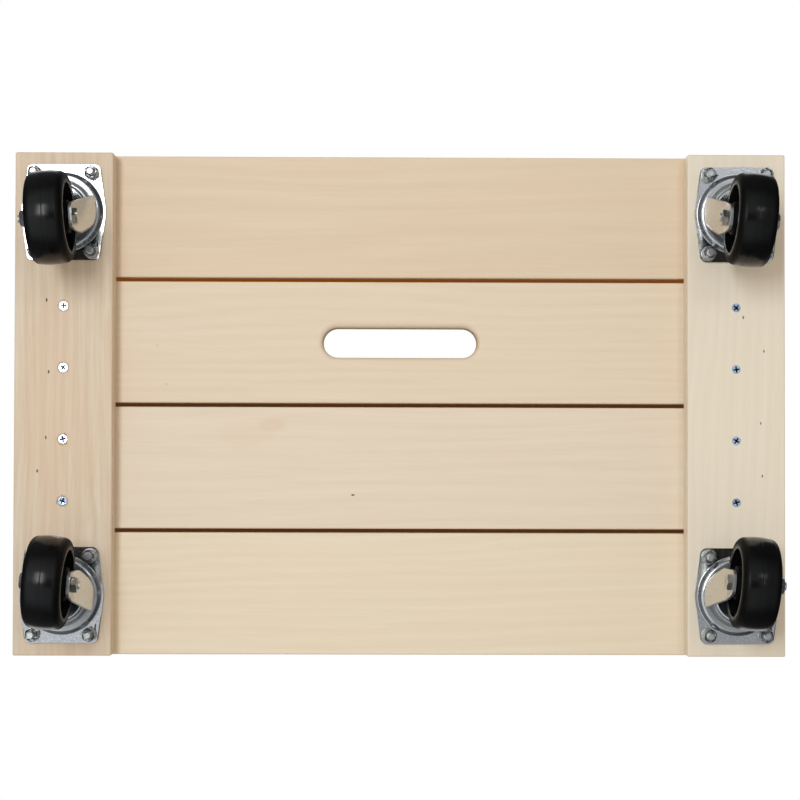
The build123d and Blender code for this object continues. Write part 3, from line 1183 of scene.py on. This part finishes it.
@dataclass
class Wheel:
    """Moulded wheel, about its axle as Z: crowned tread with a mould seam, recessed sides, web and hub.

    Attributes:
        radius: Radius at the middle of the tread.
        half: Half of the width.
        crown: Drop of the tread from its middle to its edge rounding.
        edge: Width of the rounding at the tread's edge.
        shoulder: Radius at which the rounding meets the side.
        recess: Radius of the recess, its depth and its draft.
        hub: Radius of the hub.
        bore: Radius of the bore.
        seam: Half width and depth of the witness line of the mould.
    """

    # Attribute that tells how smooth the floor has rolled the rubber
    WORN: ClassVar[str] = "worn"

    radius: float = 36.75
    half: float = 15.0
    crown: float = 0.7
    edge: float = 6.0
    shoulder: float = 30.75
    recess: Point = (26.5, 10.0, 1.0)
    hub: float = 13.0
    bore: float = 5.56
    seam: Pair = (0.35, 0.14)

    def build(self) -> Object:
        """Turn the wheel and mark where the floor has rolled it.

        Returns:
            The wheel.
        """
        rim, depth, draft = self.recess
        floor = self.half - depth
        flat = self.half - self.edge
        side = [(self.bore, self.half, 0.5), (self.hub, self.half, 0.8), (self.hub + draft, floor, 1.6)]
        side += [(rim - draft, floor, 2.2), (rim, self.half, 0.7)]
        drop = self.radius - self.crown - self.shoulder
        side += arc((self.shoulder, flat), (drop, self.edge), 90, 0, 10)
        side += [(self.radius - self.crown * share**2, flat * share) for share in (0.75, 0.5, 0.25)]
        wide, deep = self.seam
        side += [(self.radius - 0.01, wide), (self.radius - deep, 0)]
        mirrored = [(r, -z, *reach) for r, z, *reach in reversed(side[:-1])]
        wheel = polish(lathe(side + mirrored, 128), 32.0)
        worn = wheel.data.attributes.new(self.WORN, "FLOAT", "POINT")
        for vertex, share in zip(wheel.data.vertices, worn.data):
            if vertex.co.xy.length > self.shoulder:
                share.value = min(1.0, max(0.0, (self.half - 2.0 - abs(vertex.co.z)) / (self.edge - 2.0)))
            elif abs(vertex.co.xy.length - rim) < 0.8 and abs(vertex.co.z) > self.half - 0.8:
                share.value = 1.0
        return wheel


@dataclass
class Axle:
    """Hexagon bolt and nut of an axle, along the axle as Z from the bolt's head.

    Attributes:
        reach: Distance of a leg's outer face from the middle of the wheel.
        across: Width across flats of head and nut.
        head: Height of the head.
        nut: Height of the nut.
        radius: Radius of the bolt.
        tail: Length of the bolt past its nut.
    """

    reach: float = 18.5
    across: float = 12.0
    head: float = 3.6
    nut: float = 4.8
    radius: float = 4.0
    tail: float = 1.6

    def bolt(self) -> Object:
        """Model the bolt: a turned hexagon head, a shank and a threaded end.

        Returns:
            The bolt.
        """
        end = self.reach + self.nut + self.tail
        profile = thread(self.radius, 1.25, -end, -self.reach + 1.0, 0.8)
        profile += [(self.radius, -self.reach + 1.5), (self.radius, self.reach), (0, self.reach)]
        shank = polish(lathe(profile, 40))
        head = move(Hexagon(self.across, self.head).build(), at(0, 0, self.reach))
        return join([head, shank])

    def hexagon_nut(self) -> Object:
        """Model the nut on the far leg."""
        over = at(0, 0, -self.reach) @ turned(180, "X")
        return move(Hexagon(self.across, self.nut, self.radius).build(), over)


@dataclass
class Caster:
    """One caster on the deck: where it stands comes from its joints.

    Attributes:
        corner: Name of the corner.
    """

    corner: str

    def places(self) -> dict[str, Matrix]:
        """Find where its pieces go.

        Returns:
            Places of what is square to the deck, of what swivels, trailing along X, and of the axle along Z.
        """
        joints = {joint["name"]: Vector(joint["pos_m"]) for joint in frame["joints"]}
        level, up = Vector((1, 1, 0)), Vector((0, 0, 1))
        foot = joints[f"{self.corner}_swivel_turn"] * level
        hub = joints[f"{self.corner}_wheel_roll"]
        trail = ((hub - foot) * level).normalized()
        across = up.cross(trail)
        found = {"square": Matrix.Translation(foot) @ TO_METRES}
        for name, spot, axes in (("swivel", foot, (trail, across, up)), ("axle", hub, (trail, up, -across))):
            found[name] = Matrix.Translation(spot) @ Matrix(axes).transposed().to_4x4() @ TO_METRES
        return found

    @staticmethod
    def build_all(zinc: Material, dull_zinc: Material, rubber: Material) -> None:
        """Model each caster piece once and fit it at every corner.

        Args:
            zinc: Finish of the plates and heads.
            dull_zinc: Finish of the forks and axles.
            rubber: Finish of the wheels.
        """
        head, axle = SwivelHead(), Axle()
        # Piece, its place, its name, the node that it stands for, its body, slot and finish
        kit = (
            (head.plate(), "square", "pressed_plate", "plate", "deck", "zinc_steel", zinc),
            (head.race_cup(), "square", "ball_cup", "race_cup", "deck", "zinc_steel", zinc),
            (head.kingpin(), "square", "peened_kingpin", "kingpin", "deck", "zinc_steel", zinc),
            (Fork().build(), "swivel", "pressed_fork", "fork", "{}_swivel", "zinc_steel", dull_zinc),
            (axle.bolt(), "axle", "hexagon_bolt", "axle_bolt", "{}_swivel", "zinc_steel", dull_zinc),
            (axle.hexagon_nut(), "axle", "hexagon_nut", "axle_nut", "{}_swivel", "zinc_steel", dull_zinc),
            (Wheel().build(), "axle", "moulded_wheel", "wheel", "{}_roller", "wheel_rubber", rubber),
        )
        for corner in ("front_left", "front_right", "rear_left", "rear_right"):
            places = Caster(corner).places()
            for pattern, place, name, node, body, slot, finish in kit:
                piece = copy_to(pattern, places[place])
                settle(piece, f"{corner}_{name}", finish, body.format(corner), slot, f"{corner}_{node}")
        for pattern, *_ in kit:
            bpy.data.objects.remove(pattern)


def stage_sheet(name: str, size: Pair, place: Point, material: Material) -> Object:
    """Lay a flat sheet that belongs to the stage.

    Args:
        name: Name of the sheet.
        size: Its sides in mm.
        place: Its middle in mm.
        material: Its material.

    Returns:
        The sheet.
    """
    plane = blank("plane", size=1)
    plane.name = name
    spread = Matrix.Diagonal((size[0] * MM, size[1] * MM, 1, 1))
    move(plane, Matrix.Translation(Vector(place) * MM) @ spread)
    plane.data.materials.append(material)
    return plane


def hide_from_all_but_gloss(sheet: Object) -> None:
    """Let only shiny things show a sheet of the stage."""
    for ray in ("camera", "diffuse", "transmission", "shadow"):
        setattr(sheet, f"visible_{ray}", False)


@dataclass
class Softbox:
    """Level soft lamp that shines up or down at the dolly, with a cloth that only shiny things show.

    Attributes:
        name: Name of the lamp.
        place: Its middle, in mm.
        sides: Length of its sides along X and Y, in mm.
        power: Its power in watts.
        colour: Colour of its light.
        glow: Brightness of its cloth, or 0 if it has none.
    """

    name: str
    place: Point
    sides: Pair
    power: float
    colour: str = "FFFFFF"
    glow: float = 0.0

    def build(self) -> None:
        """Hang the lamp and its cloth."""
        data = bpy.data.lights.new(self.name, "AREA")
        data.shape = "RECTANGLE"
        data.size, data.size_y = (side * MM for side in self.sides)
        data.energy = self.power
        data.color = linear(self.colour)[:3]
        lamp = bpy.data.objects.new(self.name, data)
        bpy.context.scene.collection.objects.link(lamp)
        lamp.location = Vector(self.place) * MM
        lamp.rotation_euler.x = pi if self.place[2] < 0 else 0.0
        lamp.visible_camera = False
        lamp.visible_glossy = False
        if self.glow:
            material, node = empty_material("softbox cloth")
            node("OutputMaterial", {"Surface": node("Emission", {"Strength": self.glow})})
            name = self.name.replace(" ", "_") + "_cloth"
            hide_from_all_but_gloss(stage_sheet(name, self.sides, self.place, material))


@dataclass
class Studio:
    """Floor, backdrop, lamps and camera.

    The dolly was photographed from underneath, so the camera and three softboxes stand below the floor,
    which shows only from above.

    Attributes:
        camera_place: Place of the camera, in mm.
        camera_turn: Its turn about X, Y and Z, in degrees.
        camera_shift: Rise of its lens, as a share of the frame, which keeps the dolly's sides upright.
        lens: Its focal length in mm, on a sensor 36 mm wide.
        ambient: Strength of the soft light from all sides.
        softboxes: The lamps.
    """

    camera_place: Point = (-11.5, 63.4, -1333.4)
    camera_turn: Point = (181.04, 0.46, -0.145)
    camera_shift: float = 0.0625
    lens: float = 79.04
    ambient: float = 0.55
    softboxes: tuple[Softbox, ...] = (
        Softbox("key softbox", (-849, -690, -2900), (650, 1290), 51, "E8F3FF", 7.0),
        Softbox("side softbox", (960, -1100, -2900), (460, 460), 7, "E8F3FF", 3.5),
        Softbox("low softbox", (875, -150, -2900), (350, 500), 4, "E8F3FF", 0.8),
        Softbox("overhead softbox", (-700, -800, 1700), (1100, 1100), 24),
    )

    def build(self) -> None:
        """Set the camera, the light and the stage."""
        self.camera()
        self.world()
        self.floor()
        self.surround()
        self.table()
        for softbox in self.softboxes:
            softbox.build()
        bpy.context.scene.view_settings.view_transform = "Standard"

    def camera(self) -> None:
        """Stand the camera where the photograph was taken."""
        data = bpy.data.cameras.new("camera")
        data.lens = self.lens
        data.sensor_width = 36.0
        data.shift_y = self.camera_shift
        data.clip_start, data.clip_end = 0.01, 50.0
        camera = bpy.data.objects.new("camera", data)
        bpy.context.scene.collection.objects.link(camera)
        camera.location = Vector(self.camera_place) * MM
        camera.rotation_euler = [radians(a) for a in self.camera_turn]
        bpy.context.scene.camera = camera

    def world(self) -> None:
        """Make a background that the eye and shiny things see as white, and that lights softly."""
        world = bpy.data.worlds.new("white studio")
        world.use_nodes = True
        world.node_tree.nodes.clear()
        node = partial(add_node, world.node_tree)
        seen = node("LightPath", out="Is Camera Ray")
        for ray in ("Is Glossy Ray", "Is Transmission Ray"):
            seen = node("Math", {0: seen, 1: node("LightPath", out=ray)}, operation="MAXIMUM")
        white = node("Background", {"Color": linear("FFFFFF"), "Strength": 1.0})
        soft = node("Background", {"Color": linear("FFF3E5"), "Strength": self.ambient})
        node("OutputWorld", {"Surface": node("MixShader", {0: seen, 1: soft, 2: white})})
        bpy.context.scene.world = world

    def floor(self) -> None:
        """Lay a pale floor that shows from above and fades into the white."""
        material, node = empty_material("pale studio floor")
        away = node("VectorMath", {0: node("TexCoord", out="Object")}, "Value", operation="LENGTH")
        shown = node(
            "MapRange",
            {"Value": away, "From Min": 0.6, "From Max": 2.0, "To Min": 1.0, "To Max": 0.0},
            interpolation_type="SMOOTHSTEP",
        )
        back = node("NewGeometry", out="Backfacing")
        front = node("Math", {0: 1.0, 1: back}, operation="SUBTRACT")
        for share in (front, node("LightPath", out="Is Camera Ray")):
            shown = node("Math", {0: shown, 1: share}, operation="MULTIPLY")
        pale = node("BsdfDiffuse", {"Color": linear("F4F3F1")})
        mixed = node("MixShader", {0: shown, 1: node("BsdfTransparent"), 2: pale})
        node("OutputMaterial", {"Surface": mixed})
        stage_sheet("studio_floor", (6000, 6000), (0, 0, -0.5), material)

    def surround(self) -> None:
        """Hang the dim lower half of the studio, which only shiny things show."""
        material, node = empty_material("dim studio wall")
        place = node("TexCoord", out="Object")
        # The wall is brighter on the key softbox's side, and dark round the camera and towards the floor
        side = node("SeparateXYZ", {0: place}, "X")
        level = node(
            "MapRange", {"Value": side, "From Min": -2.0, "From Max": 2.0, "To Min": 0.85, "To Max": 0.3}
        )
        axis = node("VectorMath", {0: place, 1: (1, 1, 0)}, operation="MULTIPLY")
        away = node("VectorMath", {0: axis}, "Value", operation="LENGTH")
        low = node("SeparateXYZ", {0: place}, "Z")
        for value, near, far, dim in ((away, 0.5, 1.0, 0.1), (low, -1.0, -3.5, 0.2)):
            shade = node(
                "MapRange",
                {"Value": value, "From Min": near, "From Max": far, "To Min": dim},
                interpolation_type="SMOOTHSTEP",
            )
            level = node("Math", {0: level, 1: shade}, operation="MULTIPLY")
        glow = node("Emission", {"Color": linear("EEF2F7"), "Strength": level})
        node("OutputMaterial", {"Surface": glow})
        wall = blank("uv_sphere", segments=48, ring_count=24, radius=4.5)
        wall.name = "studio_wall"
        mode("EDIT")
        pick_faces(lambda middle, normal: middle.z > 3.0)
        bpy.ops.mesh.delete(type="FACE")
        mode("OBJECT")
        wall.data.materials.append(material)
        hide_from_all_but_gloss(wall)

    def table(self) -> None:
        """Lay painted shade where the turned-over dolly's table would show past the deck: glowing brown
        strips in the gaps, seen from below only, and a dark sheet in the slot that shades its walls.
        """
        # Painted shade: the strips glow a fixed dark brown in the gaps, and the patch is a dark sheet that
        # shades the slot's walls
        for name, size, place, colour, seen in (
            ("table_strip_1", (486, 3.5), (0, -103.9, 132), "7B3F10", True),
            ("table_strip_2", (486, 3.5), (0, 0, 136), "4E2D18", True),
            ("table_strip_3", (486, 3.5), (0, 103.9, 136), "4E2D18", True),
            ("table_patch", (127.5, 24.6), (0, -51.95, 134), "5E4E3E", False),
        ):
            material, node = empty_material("painted gap shade" if seen else "dark slot shade sheet")
            shown = node("NewGeometry", out="Backfacing")
            if not seen:
                # Through the slot the eye sees the white background, while the dark sheet paints shade onto
                # the slot's walls
                eye = node("LightPath", out="Is Camera Ray")
                other = node("Math", {0: 1.0, 1: eye}, operation="SUBTRACT")
                shown = node("Math", {0: shown, 1: other}, operation="MULTIPLY")
            # The strips glow brown as painted shade, standing for light that comes back brown from the
            # boards' sides; the patch is a dark diffuse sheet
            face = node("Emission" if seen else "BsdfDiffuse", {"Color": linear(colour)})
            mixed = node("MixShader", {0: shown, 1: node("BsdfTransparent"), 2: face})
            node("OutputMaterial", {"Surface": mixed})
            stage_sheet(name, size, place, material)


def main() -> None:
    """Build the dolly's pieces and the studio, and report each piece."""
    logging.basicConfig(level=logging.INFO, format="%(name)s: %(message)s")
    # Fresh plating mirrors the studio on plates and heads, and is rubbed dull on forks, axles and fasteners
    zinc = ZincPlate("bright zinc plate", "E2E4E5", "CBCED1", (0.1, 0.2), 2.0, 2.5).material()
    dull_zinc = ZincPlate("dull zinc plate", "E2E3E2", "D2D3D2", (0.32, 0.42), 2.0, 2.5).material()
    # Wood screws come with a blue chromate over the zinc, and their cross recesses get painted shade
    blue_zinc = ZincPlate(
        "blue-white zinc plate", "C8DBEF", "B2CCE6", (0.1, 0.16), 3.0, 1.2, 100.15
    ).material()
    # Ball bearing steel is ground bright and not plated
    bearing = ZincPlate("polished bearing steel", "C9C9CB", "BDBDC0", (0.06, 0.14), 4.0, 2.0).material()
    # The wheels are of one hard black rubber, shiny only where the floor has rolled it
    rubber = MouldedRubber(
        "moulded hard rubber", "080808", "11100F", (0.15, 0.21), 14.0, 0.9
    ).material()
    deck = Deck()
    deck.dress()
    deck.screws(blue_zinc)
    Fasteners().build(dull_zinc)
    Caster.build_all(zinc, dull_zinc, rubber)
    for name, node in frame["nodes"].items():
        if name.endswith("_balls"):
            node.material_slots[0].material = bearing
        elif name.endswith(("_spacer", "_axle_sleeve")):
            node.material_slots[0].material = zinc
    Studio().build()


if __name__ == "__main__":
    main()
